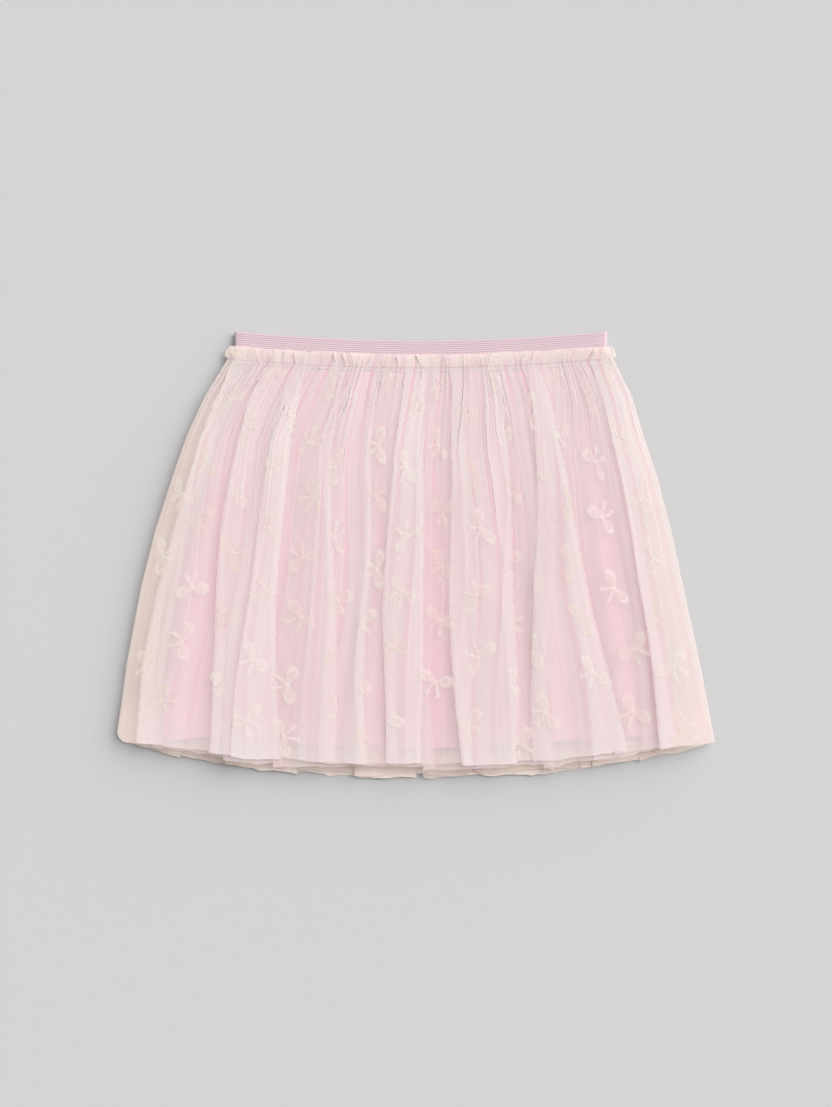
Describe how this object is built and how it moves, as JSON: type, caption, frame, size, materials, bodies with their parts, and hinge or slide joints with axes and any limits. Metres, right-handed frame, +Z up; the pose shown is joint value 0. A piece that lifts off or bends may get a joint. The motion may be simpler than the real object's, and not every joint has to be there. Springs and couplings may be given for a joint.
{
  "type": "tulle skirt",
  "caption": "Child's pull-on tulle skirt with an elastic waist, laid flat: printed tulle over plain tulle and a lining, gathered under a frilled heading.",
  "frame": {"origin": "on the surface under the middle of the laid-out skirt's outline", "axes": "+X to the right as the skirt is looked at, +Y towards the waistband, +Z up off the surface, out of the front"},
  "size_m": [0.395, 0.295, 0.0186],
  "materials": {
    "elastic": "ribbed knitted elastic, matt",
    "printed_tulle": "fine soft tulle with small cream bows printed on it, faint sheen",
    "plain_tulle": "fine soft tulle, faint sheen",
    "lining": "light plain woven cloth, soft sheen"
  },
  "bodies": {
    "root": {"waist_elastic": "elastic", "outer_tulle_front": "printed_tulle", "outer_tulle_back": "printed_tulle", "under_tulle_front": "plain_tulle", "under_tulle_back": "plain_tulle", "lining_front": "lining", "lining_back": "lining"}
  },
  "joints": []
}
